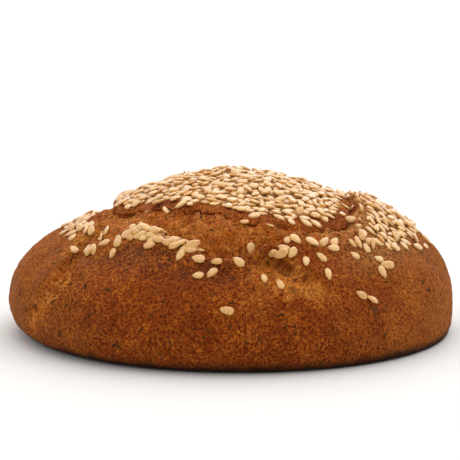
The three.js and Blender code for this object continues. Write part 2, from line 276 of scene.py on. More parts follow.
def round_curve(values, angle):
    """A closed smooth curve through equally spaced values, read at an angle."""
    values = np.asarray(values, float)
    at = (angle / TAU % 1.0) * len(values)
    i = np.floor(at).astype(int)
    f = at - i
    p, a, b, n = (values[(i + k) % len(values)] for k in (-1, 0, 1, 2))
    return a + 0.5 * f * (b - p + f * (2 * p - 5 * a + 4 * b - n + f * (3 * (a - b) + n - p)))


def lip_radius(angle):
    waver = LINE_WAVER * (np.sin(9 * angle + 1) + 0.7 * np.sin(17 * angle + 2))
    return round_curve(LIP_RADII, angle) + waver


def edge_radius(angle):
    waver = LINE_WAVER * (np.sin(8 * angle + 4) + 0.6 * np.sin(15 * angle + 1))
    return np.maximum(round_curve(EDGE_RADII, angle) + waver, lip_radius(angle) + NARROWEST_BAND)


def waves(listed, points):
    return sum(h * np.sin(points @ np.array([a, b, c], float) + phase) for a, b, c, phase, h in listed)


def split_depth(x, y):
    """How deep the splits and the pit cut in at a point in plan."""
    deepest = np.zeros_like(x)
    for line, half, depth, steep in SPLITS:
        for i in range(len(line) - 1):
            (ax, ay), (bx, by) = line[i], line[i + 1]
            dx, dy = bx - ax, by - ay
            along = clamp01(((x - ax) * dx + (y - ay) * dy) / (dx * dx + dy * dy))
            away = np.hypot(x - ax - along * dx, y - ay - along * dy)
            t = (i + along) / (len(line) - 1)
            side = dx * (y - ay) - dy * (x - ax)
            width = mix(*half, t) * np.where(side * steep > 0, 0.5, 1.0)
            deepest = np.maximum(deepest, mix(*depth, t) * ease(1 - away / width))
    return deepest + PIT_DEPTH * ease(1 - np.hypot(x - PIT[0], y - PIT[1]) / PIT_RADIUS)


def lift_at(radius):
    """The dome's angle up from the waist at a radius in plan."""
    return np.arccos(np.minimum(1.0, radius / WAIST_RADIUS))


def dough_points(angle, zone, share, ragged=0.0):
    """Places on the dough in one zone, and how much each is torn, from 0 to 1.

    angle is round the bun and share is the share of the zone's way outwards. ragged adds to the radii of the
    two torn lines, for edges that are rougher than the solid's.
    """
    c, s = np.cos(angle), np.sin(angle)
    none = np.zeros_like(angle)
    if zone == "underside curl":
        turn = share * math.pi / 2
        out = np.cos(turn)
        x = mix(UNDERSIDE_SHIFT + UNDERSIDE_RADIUS * c, WAIST_RADIUS * c, out)
        y = mix(UNDERSIDE_RADIUS * s, WAIST_RADIUS * s, out)
        return np.stack([x, y, WAIST_HEIGHT * (1 - np.sin(turn))], 1), none

    lip = lip_radius(angle) + ragged
    edge = np.maximum(edge_radius(angle) + ragged, lip + NARROWEST_BAND)
    deep = mix(0.45, 1, ease((edge - lip - NARROWEST_BAND) / (WIDE_BAND - NARROWEST_BAND)))
    band_start = lip - UNDERCUT * deep
    radius = {
        "cap": lambda: mix(0, lip - ROLL_WIDTH, share),
        "roll": lambda: mix(lip - ROLL_WIDTH, lip, share),
        "lip step": lambda: mix(lip, band_start, share),
        "band": lambda: mix(band_start, edge - EDGE_STEP, share),
        "edge step": lambda: mix(edge - EDGE_STEP, edge, share),
        "flap": lambda: WAIST_RADIUS * np.cos(lift_at(edge) * (1 - share)),
    }[zone]()
    lift = lift_at(radius)
    rise = TOP_HEIGHT - WAIST_HEIGHT
    out, up = np.cos(lift), np.sin(lift)
    dome = np.stack([radius * c, radius * s, WAIST_HEIGHT + rise * up], 1)
    normal = np.stack([c * out / WAIST_RADIUS, s * out / WAIST_RADIUS, up / rise], 1)
    normal /= np.linalg.norm(normal, axis=1, keepdims=True)

    cap = -CAP_DROP - CAP_DROP_CURVE * (dome[:, 0] - CAP_HIGH_X) ** 2
    dip = RIGHT_DIP_DEPTH * ease(3 * np.cos(angle - RIGHT_DIP_ANGLE) - 2)
    flap = -(FLAP_DROP_MEAN - FLAP_DROP_LEFTWARD * c + FLAP_DROP_SIDEWAYS * np.cos(2 * angle) + dip)
    curl = mix(FLAP_CURL_BACK, FLAP_CURL_FRONT, ease(-1.5 * s))
    lip_top = cap + LIP_SWELL * ease((radius - lip + 7) / 5)
    depth_at_lip = mix(BAND_DEPTH_AT_LIP_BACK, BAND_DEPTH_AT_LIP_FRONT, ease(-1.2 * s - 0.2))
    band_in = cap - depth_at_lip * deep
    band_out = flap - BAND_DEPTH_AT_EDGE * deep
    height = {
        "cap": lambda: lip_top,
        "roll": lambda: lip_top - ROLL_DROP * share**2,
        "lip step": lambda: mix(lip_top - ROLL_DROP, band_in, share),
        "band": lambda: mix(band_in, band_out, ease(share)) + BAND_SWELL * deep * np.sin(math.pi * share),
        "edge step": lambda: mix(band_out, flap + curl, share),
        "flap": lambda: flap * (1 - ease(share / FLAP_DROP_ENDS)) + curl * (1 - ease(share * 5)),
    }[zone]()

    split = split_depth(dome[:, 0], dome[:, 1]) * {"band": 0.6, "edge step": 1, "flap": 1}.get(zone, 0)
    torn_zone = {"lip step": share, "band": none + 1, "edge step": 1 - share}.get(zone, none)
    torn = np.maximum(torn_zone, clamp01(split))
    fade = 1 - 0.6 * ease(share * 2 - 1) if zone == "flap" else 1.0
    relief = fade * waves(SWELLS, dome) + torn * waves(CRAGS, dome)
    return dome + normal * (height - split + relief)[:, None], torn


def zones_at(angle, radius):
    """The zone that each seed at a radius in plan lies in, with the share of that zone."""
    lip = lip_radius(angle)
    edge = edge_radius(angle)
    on = [radius < lip - ROLL_WIDTH, radius < edge + 0.4]
    in_cap = radius / (lip - ROLL_WIDTH)
    in_band = clamp01((radius - lip) / (edge - EDGE_STEP - lip))
    in_flap = 1 - lift_at(radius) / lift_at(edge)
    return np.select(on, ["cap", "band"], "flap"), np.select(on, [in_cap, in_band], in_flap)


def seed_shares(angle, radius, zone):
    """How likely a seed is to have stuck at each place."""
    lip, edge = lip_radius(angle), edge_radius(angle)
    bare = mix(CAP_BARE_BACK, CAP_BARE_FRONT, np.maximum(0.0, -np.sin(angle)) ** 2)
    fallen = FALLEN_SHARE * ease(FALLEN_BAND - (edge - lip))
    outwards = (radius - edge) / round_curve(SEED_REACH, angle)
    leftness = ease(-np.cos(angle) * 2 - 0.6)
    on_flap = np.where(outwards > 1, 0, clamp01(1.5 - 1.3 * outwards) * mix(1, SEED_SHARE_ON_LEFT, leftness))
    return np.select([zone == "cap", zone == "band"], [radius < lip - bare, fallen], on_flap)


def seed_places(angle, radius):
    """Where seeds lie: their middles, the way round the bun there and the way straight out of the crust."""
    small = 0.01
    zones, share = zones_at(angle, radius)
    at, beside, outward = (np.zeros((len(angle), 3)) for _ in range(3))
    for zone in ("cap", "band", "flap"):
        here = zones == zone
        at[here] = dough_points(angle[here], zone, share[here])[0]
        beside[here] = dough_points(angle[here] + small, zone, share[here])[0]
        outward[here] = dough_points(angle[here], zone, share[here] + small)[0]
    round_way = beside - at
    round_way /= np.linalg.norm(round_way, axis=1, keepdims=True)
    out = np.cross(outward - at, round_way)
    return zones, at, round_way, out / np.linalg.norm(out, axis=1, keepdims=True)


def random_draw(seed):
    """The solid's own random draw, the same each time."""
    state = seed

    def draw():
        nonlocal state
        state = (state + 0x6D2B79F5) & 0xFFFFFFFF
        t = ((state ^ (state >> 15)) * (1 | state)) & 0xFFFFFFFF
        t = (t + (((t ^ (t >> 7)) * (61 | t)) & 0xFFFFFFFF)) & 0xFFFFFFFF ^ t
        return ((t ^ (t >> 14)) & 0xFFFFFFFF) / 4294967296

    return draw


class SeedLayer:
    """How high the seeds already lie above the crust, on a grid in plan, so that later ones rest on them."""

    cell = 0.35
    half = 60.0
    touching = 0.05  # a seed rests on others where they stand higher than this
    nesting = 0.12  # and sinks this far in among them
    steepest = (0.7, 0.8)  # slopes, endways and sideways
    lone_tip = 0.3  # a seed on bare crust tips by this share of what one on others does

    def __init__(self):
        cells = int(2 * self.half / self.cell)
        self.height = np.zeros((cells, cells))
        steps = np.linspace(-0.9, 0.9, 9)
        a, b = (grid.ravel() for grid in np.meshgrid(steps, steps))
        inside = a * a + b * b < 0.85
        self.a, self.b = a[inside], b[inside]
        self.bulge = np.sqrt(1 - self.a**2 - self.b**2)

    def settle(self, at, length_way, width_way, size, tips, most_high):
        """The height of a seed's middle above the crust and its slopes, resting on what lies there.

        None if it would lie too high, and so has rolled off.
        """
        width, length, thickness = size
        spots = at + 0.5 * length * self.a[:, None] * length_way + 0.5 * width * self.b[:, None] * width_way
        cells = ((spots[:, :2] + self.half) / self.cell).astype(int)
        under = self.height[cells[:, 0], cells[:, 1]]
        x, y = 0.5 * length * self.a, 0.5 * width * self.b
        tips = tips * (1.0 if under.max() > self.touching else self.lone_tip)
        slopes = [(under * way).sum() / (way * way).sum() + tip for way, tip in zip((x, y), tips)]
        slope_length, slope_width = (max(-most, min(most, s)) for s, most in zip(slopes, self.steepest))
        plane = slope_length * x + slope_width * y
        sunk = np.where(under > self.touching, self.nesting, SEED_SUNK * thickness)
        middle = (under - plane + 0.5 * thickness * self.bulge - sunk).max()
        if middle > most_high:
            return None
        top = middle + plane + 0.5 * thickness * self.bulge
        np.maximum.at(self.height, (cells[:, 0], cells[:, 1]), top)
        return middle, math.atan(slope_length), math.atan(slope_width)


def sow_seeds(settings):
    """Every seed as (middle on the crust, ways of its width, length and thickness, size, lift off the crust).

    The solid's own seeds come first, and each later one comes to rest on those that lie there.
    """
    draw = random_draw(SEED_DRAW)
    rng = np.random.default_rng(SEED_DRAW)
    seed_mm = np.array([settings.width, settings.length, settings.thickness]) / MM
    layer = SeedLayer()
    seeds = []
    room = FIRST_SEEDS + settings.thrown + sum(patch[4] + 1 for patch in PATCHES)
    taken = np.full((room, 3), math.inf)

    def lay(at, round_way, out, spacing, most_high, turned=None):
        if np.linalg.norm(taken[: len(seeds) + 1] - at, axis=1).min() <= spacing:
            return
        turn = TAU * draw()
        size = 1 + SEED_SIZE_SPREAD * (2 * draw() - 1)
        tilts = np.array([draw(), draw()]) * 2 - 1
        turn = turn if turned is None else turned
        side = np.cross(out, round_way)
        length_way = math.cos(turn) * side - math.sin(turn) * round_way
        width_way = np.cross(length_way, out)
        tips = 0.5 * SEED_TILT * tilts + rng.normal(0, SEED_JUMBLE)
        rest = layer.settle(at, length_way, width_way, seed_mm * size, tips, most_high)
        if rest is not None:
            height, slope_length, slope_width = rest
            y_way = length_way * math.cos(slope_length) + out * math.sin(slope_length)
            x_way = width_way * math.cos(slope_width) + out * math.sin(slope_width)
            taken[len(seeds)] = at
            seeds.append((at, (x_way, y_way, np.cross(x_way, y_way)), size, out * height))

    def stuck(angle, radius, chance, thin):
        """Which of the seeds thrown at these places have stuck."""
        zones = zones_at(angle, radius)[0]
        share = seed_shares(angle, radius, zones) ** np.where(zones == "flap", thin, 1)
        split = split_depth(radius * np.cos(angle), radius * np.sin(angle))
        return (chance <= share) & (split <= SEED_SPLIT_LIMIT)

    degrees, radius, turned = np.array(LONE_SEEDS, float).T
    for place in zip(*seed_places(np.radians(degrees), radius)[1:], np.radians(turned)):
        lay(*place[:3], -1, math.inf, place[3])
    while len(seeds) < FIRST_SEEDS:
        angle, radius, chance = TAU * draw(), WAIST_RADIUS * math.sqrt(draw()), draw()
        spot = np.array([angle]), np.array([radius])
        if stuck(*spot, chance, 1)[0]:
            lay(*(part[0] for part in seed_places(*spot)[1:]), FIRST_SPACING, math.inf)

    for level, share in SEED_LEVELS:
        angle, radius, chance = rng.random((3, round(share * settings.thrown)))
        angle, radius = TAU * angle, WAIST_RADIUS * np.sqrt(radius)
        kept = stuck(angle, radius, chance, CLUSTERING) & ~swept_off(angle, radius)
        angle, radius = angle[kept], radius[kept]
        inwards = ease((lip_radius(angle) - radius - 1) / PILE_SLOPE)
        zones, *places = seed_places(angle, radius)
        piles = level * np.where(zones == "cap", mix(PILE_AT_LIP, PILE_ON_CAP, inwards), PILE_ON_FLAP)
        for *place, pile in zip(*places, piles):
            lay(*place, settings.spacing, pile)
    for start, stop, nearest, farthest, count, spacing in PATCHES:
        angle = np.radians(rng.uniform(start, stop, count))
        radius = lip_radius(angle) + rng.uniform(nearest, farthest, count)
        for place in zip(*seed_places(angle, radius)[1:]):
            lay(*place, spacing, PILE_ON_FLAP)
    for heap in HEAPS:
        seeds += heaped_seeds(rng, *heap)
    return seeds


def swept_off(angle, radius):
    """Which of the seeds thrown at these places have fallen off."""
    around = np.degrees(angle) - 360
    around = np.where(around < -352, around + 360, around)
    lip = lip_radius(angle)
    off_cap = radius > lip - 1
    gap = LIP_GAPS * ease(0.5 * np.sin(11 * angle + 2) + 0.4 * np.sin(27 * angle)) * ease(-np.sin(angle))
    turn_from, turn = CAP_BARE_TURN
    bare = mix(CAP_BARE_LEFT, CAP_BARE_FRONT + gap, ease((around - turn_from) / turn))
    at_lip = ~off_cap & (radius >= lip - bare) & (np.sin(angle) <= 0)
    on_flap = off_cap & (around > SWEPT_FLAP[0]) & (around < SWEPT_FLAP[1])
    in_notch = off_cap & (radius < edge_radius(angle)) & (around > SWEPT_NOTCH[0]) & (around < SWEPT_NOTCH[1])
    in_front = (around >= DENSE_TO[0][0]) & (radius >= np.interp(around, *DENSE_TO))
    return at_lip | on_flap | in_notch | in_front


def heaped_seeds(rng, start, stop, layers):
    """The seeds of a heap along a flap's crest, in rows from the crest in towards the band, layer on layer.

    Under a heap of more than one layer lies one more row, down the crest's outer side.
    """
    deep = layers > 1
    seeds = []
    for level in range(-1 if deep else 0, layers):
        for row in range(level < 0, layers - level + deep):
            ends = HEAP_TAPER * max(level, 0) * (stop - start)
            first, last = np.radians([start + ends, stop - ends])
            count = int((last - first) * edge_radius(first) / HEAP_SPACING) + 1
            inwards = HEAP_LEAN * level + HEAP_ROW * row
            for k in range(count):
                angle = first + (last - first) * (k + 0.5 + rng.uniform(-0.3, 0.3)) / count
                outward = np.array([math.cos(angle), math.sin(angle), 0])
                at = dough_points(np.array([angle]), "flap", np.zeros(1))[0][0]
                out = np.array([0, 0, 1]) + HEAP_FACING[min(row, 2)] * outward + rng.normal(0, 0.2, 3)
                out /= np.linalg.norm(out)
                length_way = np.cross(out, outward) + rng.normal(0, 0.5 if deep else 1.2) * outward
                length_way -= out * (length_way @ out)
                length_way /= np.linalg.norm(length_way)
                up = np.array([0, 0, HEAP_FOOT + HEAP_LAYER * level])
                lift = -outward * inwards + up + rng.normal(0, 0.12, 3)
                size = 1 + SEED_SIZE_SPREAD * rng.uniform(-1, 1)
                seeds.append((at, (np.cross(length_way, out), length_way, out), size, lift))
    return seeds


def noise_at(points, size, octaves=3, stretch=(1, 1, 1), offset=0.0):
    """Fractal noise from about -1 to 1 at points in millimetres, with lumps of about the size given."""
    scaled = points * (np.array(stretch, float) / size) + offset
    return np.array([noise.fractal(p, 1.0, 2.0, octaves) for p in scaled.tolist()])


def noises(layers, points):
    """Noises laid on one another."""
    return sum(height * noise_at(points, size, octaves, offset=at) for height, size, octaves, at in layers)


def pores_at(points, size, reach, offset):
    """Round pores: 1 in their middles and 0 beyond their reach, a share of the way from one to the next."""
    away = np.array([noise.voronoi(p)[0][0] for p in (points / size + offset).tolist()])
    return ease(1 - away / reach)


def vertex_normals(points, faces):
    corners = points[faces]
    across = np.cross(corners[:, 1] - corners[:, 0], corners[:, 2] - corners[:, 0])
    normals = np.zeros_like(points)
    for k in range(3):
        np.add.at(normals, faces[:, k], across)
    return normals / np.linalg.norm(normals, axis=1, keepdims=True)


def new_piece(name, points_mm, faces, material, attributes=None):
    """A smooth mesh object that rides on the bun's body. attributes are one number for each point."""
    mesh = bpy.data.meshes.new(name)
    mesh.vertices.add(len(points_mm))
    mesh.vertices.foreach_set("co", (points_mm * MM).astype(np.float32).ravel())
    mesh.loops.add(faces.size)
    mesh.loops.foreach_set("vertex_index", faces.astype(np.int32).ravel())
    mesh.polygons.add(len(faces))
    mesh.polygons.foreach_set("loop_start", np.arange(0, faces.size, faces.shape[1], dtype=np.int32))
    mesh.update(calc_edges=True)
    mesh.validate()
    mesh.shade_smooth()
    for key, values in (attributes or {}).items():
        mesh.attributes.new(key, "FLOAT", "POINT").data.foreach_set("value", values.astype(np.float32))
    mesh.materials.append(material)
    piece = bpy.data.objects.new(name, mesh)
    bpy.context.scene.collection.objects.link(piece)
    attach(piece, BODY)
    return piece


def ring_faces(count):
    """Triangles of a disc whose ring k has 6k points, from its middle out to ring count."""
    faces = []
    starts = np.concatenate([[0], 1 + 3 * np.arange(count) * np.arange(1, count + 1)])
    for k in range(1, count + 1):
        i = np.arange(6 * k)
        outer = starts[k] + i
        outer_next = starts[k] + (i + 1) % (6 * k)
        sector, place = i // k, i % k
        inner_count = max(1, 6 * (k - 1))
        inner = starts[k - 1] + (sector * (k - 1) + place) % inner_count
        faces.append(np.stack([outer, outer_next, inner], 1))
        wide = place + 1 < k
        inner_next = starts[k - 1] + (sector * (k - 1) + place + 1) % inner_count
        faces.append(np.stack([outer_next, inner_next, inner], 1)[wide])
    return np.concatenate(faces), int(starts[count])


def crust_masks(zone, share, angle):
    """A ring's masks, 0 to 1: stretched, near the lip, sheltered by seeds and painted light, toasted and
    painted shade.
    """
    none = 0 * share
    leftness, rightness = ease(-2 * np.cos(angle) - 0.6), ease(2 * np.cos(angle) - 0.7)
    # Painted light among the seeds on the flaps, mostly the painted sheen on the right.
    among_seeds = SHELTERED_AND_LIT_RIGHT * rightness + SHELTERED_AND_LIT_LEFT * leftness
    if zone == "cap":
        bare_edge = mix(0.2, 1, ease(-2 * np.sin(angle) - 0.6))
        # Under the seeds the cap is painted pale: partly crust kept from browning, partly painted light
        # lifting the shade between seeds.
        under_seeds = ease((1 - share) * lip_radius(angle) / 3 - bare_edge)
        return 0.3 * ease((share - 0.88) / 0.12), none, under_seeds, none
    if zone == "roll":
        return 0.3 + 0.4 * leftness, none, none, none
    if zone == "lip step":
        return none, share, none, none
    if zone == "band":
        return none, ease(1 - share / 0.4), among_seeds, none
    if zone == "edge step":
        return none, none, among_seeds, none
    if zone == "flap":
        # Darker along the front flap's proud edge: partly browning, partly painted shade below the heaped
        # seeds.
        from_crest = np.abs((np.degrees(angle) - TOASTED_AND_SHADED_AT + 180) % 360 - 180)
        toasted = ease(1.6 - from_crest / TOASTED_AND_SHADED_WIDTH) * ease(1.5 - share / 0.32)
        stretched = ease(1 - share / mix(0.07, 0.2, leftness))
        return stretched, none, among_seeds * ease(1.5 - share / 0.35), toasted
    return none, none, none, none


def make_dough(sizes):
    """The dough's points, its faces and its masks, with ragged edges and before the fine relief."""
    points = [dough_points(np.zeros(1), "cap", np.zeros(1))[0]]
    masks = {"torn": [0.0], "stretched": [0.0], "beside_lip": [0.0], "sheltered_and_painted_light": [1.0], "toasted": [0.0]}
    ring = 0
    for zone, rings in ZONE_RINGS.items():
        for i in range(rings):
            ring += 1
            angle = TAU * np.arange(6 * ring) / (6 * ring)
            loop = np.stack([np.cos(angle), np.sin(angle), 0 * angle], 1) * LOOP_RADIUS
            ragged = sizes.raggedness / MM * noises(RAGGED_NOISE, loop)
            share = np.full(6 * ring, (i + 1) / rings)
            place, torn = dough_points(angle, zone, share, ragged)
            points.append(place)
            for parts, here in zip(masks.values(), (torn, *crust_masks(zone, share, angle))):
                parts.extend(here)
    faces, last_start = ring_faces(ring)
    points = np.concatenate(points + [np.array([[UNDERSIDE_SHIFT, 0.0, 0.0]])])
    rim = last_start + np.arange(6 * ring)
    under = np.stack([np.roll(rim, -1), rim, np.full(6 * ring, len(points) - 1)], 1)
    masks = {name: np.array(parts + [0.0]) for name, parts in masks.items()}
    return points, np.concatenate([faces, under]), masks


def near_line(points, line, half, wander):
    """How near each point is to a line, from 0 where it is half away to 1."""
    line = np.array(line, float)
    away = np.full(len(points), math.inf)
    for start, stop in zip(line, line[1:]):
        way = stop - start
        along = clamp01((points - start) @ way / (way @ way))
        away = np.minimum(away, np.linalg.norm(points - start - along[:, None] * way, axis=1))
    return ease(1.5 * (1 - wander * away / half))


def roughen_dough(points, faces, masks, sizes):
    """Moves the points along their normals: grain on the crust, and crags, pores and strands where it tore.

    Masks gain crumb and hollow_shade, painted shade in the tears' pores and clefts; opened tears count as
    torn.
    """
    normals = vertex_normals(points, faces)
    angle = np.arctan2(points[:, 1], points[:, 0])
    radius = np.hypot(points[:, 0], points[:, 1])
    unrolled = np.stack([angle * BAND_RADIUS, radius, points[:, 2]], 1)
    strands = STRAND_HEIGHT * (0.5 - np.abs(noise_at(unrolled, STRAND_WIDTH, 2, stretch=STRAND_STRETCH)))
    pores = -PORE_DEPTH * pores_at(points, *PORES)
    honeycomb = pores_at(points, *HONEYCOMB)
    wander = 1 + noises(WANDER_NOISE, points)
    opened, sunk = np.zeros(len(points)), np.zeros(len(points))
    for line, half, deep in TEARS:
        near = near_line(points, line, half, wander)
        sunk = np.maximum(sunk, near * (deep + HONEYCOMB_DEPTH * honeycomb * min(1, 1.2 * deep)))
        opened = np.maximum(opened, near)
    rough = np.maximum(np.maximum(masks["torn"], 0.7 * masks["stretched"]), opened)
    move = noises(CRUST_NOISE, points) * sizes.grain_depth * (1 - 0.5 * rough)
    move += rough * sizes.crag_depth * (noises(CRAG_NOISE, points) + strands + pores) - sunk
    risen = ease(RISEN_USUALLY + noises(RISEN_NOISE, points))
    move += RISEN_TO_LIP * masks["beside_lip"] * risen
    # Painted shade: the pores of opened tears and the clefts are darkened in the crust's colour.
    hollow_shade = 0.7 * opened * honeycomb
    for start, stop, half, deep in CLEFTS:
        near = near_line(points, (start, stop), half, wander)
        move -= deep * near
        hollow_shade = np.maximum(hollow_shade, near)
    masks |= {"torn": np.maximum(masks["torn"], opened), "hollow_shade": hollow_shade, "crumb": opened * (1 - honeycomb)}
    return points + normals * (move * ease(points[:, 2] / SETTLED))[:, None]


CRUST_MASKS = (
    "torn", "browned", "scorch_and_shade", "hollow_shade", "sheltered_and_painted_light", "toasted", "sideways", "glazed", "crumb",
)


def browning_masks(points, masks):
    """What the crust's material reads, from 0 to 1 at each point."""
    torn, stretched = masks["torn"], masks["stretched"]
    # The crust next to a tear has stretched, and is nearly as pale as the tear.
    pale = np.maximum(torn * (1 - 0.5 * masks["beside_lip"]), 0.75 * stretched)
    glazed = 0.2 * stretched + 0.1 * masks["toasted"]
    glazed *= ease(0.3 + 1.6 * noise_at(points, 3.0, 2, offset=6.0))
    glazed += 0.12 * torn * ease(3 * noise_at(points, 1.4, 2, offset=4.0) - 0.3)
    return {
        "torn": pale,
        "browned": clamp01(0.3 + 0.6 * noise_at(points, 16.0, 2)) * (1 - pale),
        # Darker towards the underside: partly scorched crust, partly painted shade where the bun meets the
        # floor.
        "scorch_and_shade": ease(1 - (points[:, 2] - 0.5 - 0.7 * noise_at(points, 5.0, 3)) / 2.6),
        "hollow_shade": masks["hollow_shade"],
        "sheltered_and_painted_light": masks["sheltered_and_painted_light"],
        "toasted": masks["toasted"] * (1 - pale),
        # Painted sheen: the crust on the bun's two sides is painted lighter and more golden for the light
        # they catch.
        "sideways": ease((np.abs(points[:, 0]) - 22) / 34 + 0.35 * noise_at(points, 9.0, 2, offset=2.0)),
        "glazed": glazed,
        "crumb": 0.65 * masks["crumb"] * ease(0.75 + 1.4 * noise_at(points, 1.8, 2, offset=11.0)),
    }


def linear(hex_colour):
    """An sRGB hex colour as linear red, green and blue."""
    parts = [int(hex_colour[i : i + 2], 16) / 255 for i in (1, 3, 5)]
    return tuple(p / 12.92 if p <= 0.04045 else ((p + 0.055) / 1.055) ** 2.4 for p in parts)


def add_node(tree, kind, sockets=None, **settings):
    """Adds a shader node, gives it its settings, and sets or links its input sockets."""
    node = tree.nodes.new("ShaderNode" + kind)
    for name, value in settings.items():
        setattr(node, name, value)
    for name, value in (sockets or {}).items():
        if isinstance(value, bpy.types.NodeSocket):
            tree.links.new(value, node.inputs[name])
        else:
            node.inputs[name].default_value = value
    return node


def new_material(name):
    """A material with an empty node tree, and that tree."""
    material = bpy.data.materials.new(name)
    material.use_nodes = True
    material.node_tree.nodes.clear()
    return material, material.node_tree


def finish_material(tree, sockets):
    """Makes the material's shader with those sockets set, links it to the output and returns it."""
    shader = add_node(tree, "BsdfPrincipled", sockets)
    add_node(tree, "OutputMaterial", {"Surface": shader.outputs["BSDF"]})
    return shader


def overlay(tree, colour, *layers):
    """The colour with others laid over it in turn. Each layer is the share that it covers, and its colour."""
    for share, over in layers:
        over = over if isinstance(over, bpy.types.NodeSocket) else (*over, 1.0)
        colour = colour if isinstance(colour, bpy.types.NodeSocket) else (*colour, 1.0)
        colour = add_node(tree, "Mix", {0: share, 6: colour, 7: over}, data_type="RGBA").outputs[2]
    return colour


def per_mm(size_mm):
    """A texture's scale, for a pattern that repeats about every size_mm."""
    return 1 / (size_mm * MM)


def baked_crust(colours):
    """Baked wholemeal crust: browned flour paste with bran in it, matt and granular, paler where it tore."""
    material, tree = new_material("baked_crust")
    place = add_node(tree, "TexCoord").outputs["Object"]
    torn, browned, scorch_and_shade, hollow_shade, sheltered_and_painted_light, toasted, sideways, glazed, crumb = (
        add_node(tree, "Attribute", attribute_name=name).outputs["Fac"] for name in CRUST_MASKS
    )

    def pattern(size, low, high, detail=3.0, to=(0.0, 1.0)):
        field = {"Vector": place, "Scale": per_mm(size), "Detail": detail}
        value = add_node(tree, "TexNoise", field).outputs["Fac"]
        spread = {"Value": value, "From Min": low, "From Max": high, "To Min": to[0], "To Max": to[1]}
        return add_node(tree, "MapRange", spread).outputs["Result"]

    # Golden strands of gluten and bran, partly a painted highlight on the raised grain: the places where a
    # noise is near its middle.
    field = {"Vector": place, "Scale": per_mm(0.9), "Detail": 3.0, "Distortion": 0.6}
    from_middle = add_node(tree, "TexNoise", field).outputs["Fac"]
    from_middle = add_node(tree, "Math", {0: from_middle, 1: 0.5}, operation="SUBTRACT").outputs[0]
    from_middle = add_node(tree, "Math", {0: from_middle}, operation="ABSOLUTE").outputs[0]
    near_middle = {"Value": from_middle, "From Min": 0.1, "From Max": 0.02}
    strands = add_node(tree, "MapRange", near_middle).outputs["Result"]

    # Specks of bran, in a quarter of the cells.
    cells = add_node(tree, "TexVoronoi", {"Vector": place, "Scale": per_mm(2.1)})
    near_speck = {"Value": cells.outputs["Distance"], "From Min": 0.16, "From Max": 0.096}
    speck = add_node(tree, "MapRange", near_speck).outputs["Result"]
    draw = add_node(tree, "SeparateColor", {0: cells.outputs["Color"]}).outputs[0]
    drawn = add_node(tree, "Math", {0: draw, 1: 0.25}, operation="LESS_THAN").outputs[0]
    specks = add_node(tree, "Math", {0: speck, 1: drawn}, operation="MULTIPLY").outputs[0]

    # The strands are thick in some places and sparse in others.
    patchy = {0: pattern(9, 0.38, 0.62, 4.0, (0.35, 1.0)), 1: pattern(2.8, 0.36, 0.6, 3.0, (0.4, 1.2))}
    patchy = add_node(tree, "Math", patchy, operation="MULTIPLY").outputs[0]
    # The golden strands are also raised by the bump below, so their colour is partly a painted highlight.
    golden = add_node(tree, "Math", {0: strands, 1: patchy}, operation="MULTIPLY").outputs[0]
    deepest = add_node(tree, "Math", {0: pattern(14, 0.4, 0.6), 1: browned}, operation="MULTIPLY").outputs[0]
    # Painted sheen on the bun's two sides, at half strength.
    half_side_sheen = add_node(tree, "Math", {0: sideways, 1: 0.5}, operation="MULTIPLY").outputs[0]
    # In torn dough the strands are pale, partly a painted highlight too.
    ripe = overlay(
        tree, colours.torn, (pattern(2.2, 0.35, 0.65), colours.torn_deep), (golden, colours.pale)
    )
    colour = overlay(
        tree,
        colours.brown,
        (deepest, colours.dark),
        # partly browning, partly painted shade below the heaped seeds
        (toasted, colours.toasted),
        (golden, colours.gold_and_highlight),
        (half_side_sheen, colours.tan),
        (torn, ripe),
        (crumb, colours.crumb),
        # partly crust kept pale, partly painted light in the shaded gaps between seeds and a painted sheen on
        # the right
        (sheltered_and_painted_light, colours.sheltered_and_painted_light),
    )
    # The shade between the grains of flour shows least where the crust is torn.
    shaded = {0: 1.0, 6: colour, 7: (*colours.grain, 1.0)}
    shaded = add_node(tree, "Mix", shaded, data_type="RGBA", blend_type="MULTIPLY").outputs[2]
    even = {0: torn, 1: 0.15, 2: pattern(0.6, 0.38, 0.56)}
    even = add_node(tree, "Math", even, operation="MULTIPLY_ADD", use_clamp=True).outputs[0]
    # Herbs have stained the dough round them.
    stained = pattern(3.2, 0.62, 0.74, 4.0, (0.0, 0.75))
    colour = overlay(
        tree,
        shaded,
        (even, colour),
        (specks, colours.bran),
        (stained, colours.herb_stain),
        # painted shade in the tears' pores and clefts
        (hollow_shade, colours.hollow_shade),
        # partly scorched crust, partly painted shade at the underside
        (scorch_and_shade, colours.scorch_and_shade),
    )

    grains = {"Vector": place, "Scale": per_mm(0.55), "Detail": 4.0, "Roughness": 0.65, "Distortion": 0.3}
    height = {0: strands, 1: 0.35, 2: add_node(tree, "TexNoise", grains).outputs["Fac"]}
    height = add_node(tree, "Math", height, operation="MULTIPLY_ADD").outputs[0]
    bump = add_node(tree, "Bump", {"Height": height, "Distance": 0.7 * MM, "Strength": 1.0}).outputs["Normal"]
    sockets = {
        "Base Color": colour,
        "Roughness": pattern(1.1, 0.3, 0.7, 3.0, (0.6, 0.85)),
        "IOR": 1.45,
        "Specular IOR Level": 0.05,
        "Sheen Weight": 0.06,
        "Sheen Roughness": 0.5,
        "Sheen Tint": (*colours.fuzz, 1.0),
        "Coat Weight": glazed,
        "Coat Roughness": 0.3,
        "Coat Normal": bump,
        "Normal": bump,
    }
    finish_material(tree, sockets)
    return material


